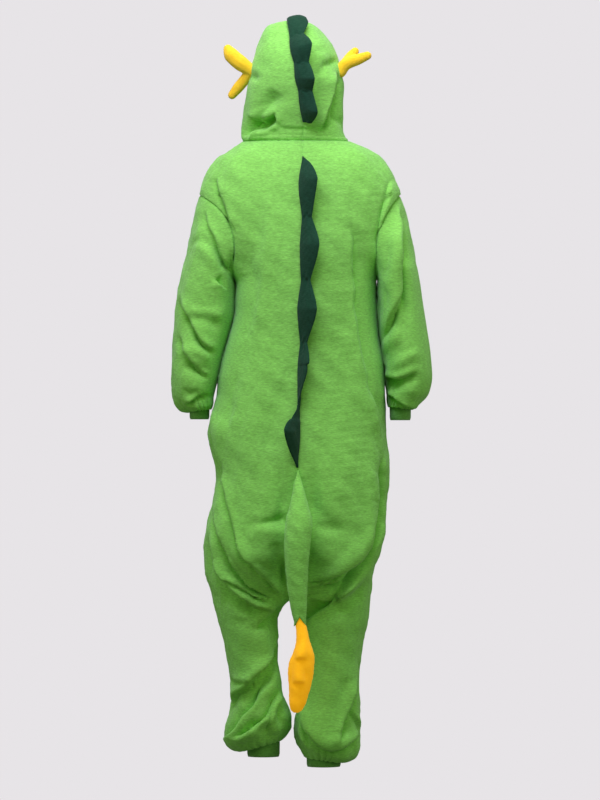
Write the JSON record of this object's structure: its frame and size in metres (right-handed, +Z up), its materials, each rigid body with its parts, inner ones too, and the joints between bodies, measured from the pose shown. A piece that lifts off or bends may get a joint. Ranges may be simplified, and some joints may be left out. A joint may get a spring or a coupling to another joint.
{
  "type": "hooded dragon costume onesie",
  "caption": "Hooded one-piece fleece dragon costume for an adult, with crested hood and back, horns, stuffed tail and gathered cuffs, hollow as worn.",
  "frame": {"origin": "middle of the neck seam at the height of the nape, where the wearer's shoulders carry the garment", "axes": "+Z up, the garment faces -Y, its left side is at +X"},
  "size_m": [0.5697, 0.3651, 1.6552],
  "materials": {
    "fleece_green": "brushed fleece",
    "cuff_green": "brushed fleece",
    "fleece_dark_green": "brushed fleece",
    "fleece_yellow": "brushed fleece",
    "button_green": "satin plastic"
  },
  "bodies": {
    "root": {"back_left": "fleece_green", "back_right": "fleece_green", "front_left": "fleece_green", "front_right": "fleece_green", "sleeve_left": "fleece_green", "sleeve_right": "fleece_green", "hood_left": "fleece_green", "hood_right": "fleece_green", "button_band": "fleece_green", "tail": "fleece_green", "sleeve_cuff_left": "cuff_green", "sleeve_cuff_right": "cuff_green", "ankle_cuff_left": "cuff_green", "ankle_cuff_right": "cuff_green", "hood_crest": "fleece_dark_green", "back_crest": "fleece_dark_green", "horn_left": "fleece_yellow", "horn_right": "fleece_yellow", "tail_tip": "fleece_yellow", "button_1": "button_green", "button_2": "button_green", "button_3": "button_green", "button_4": "button_green", "button_5": "button_green"}
  },
  "joints": []
}
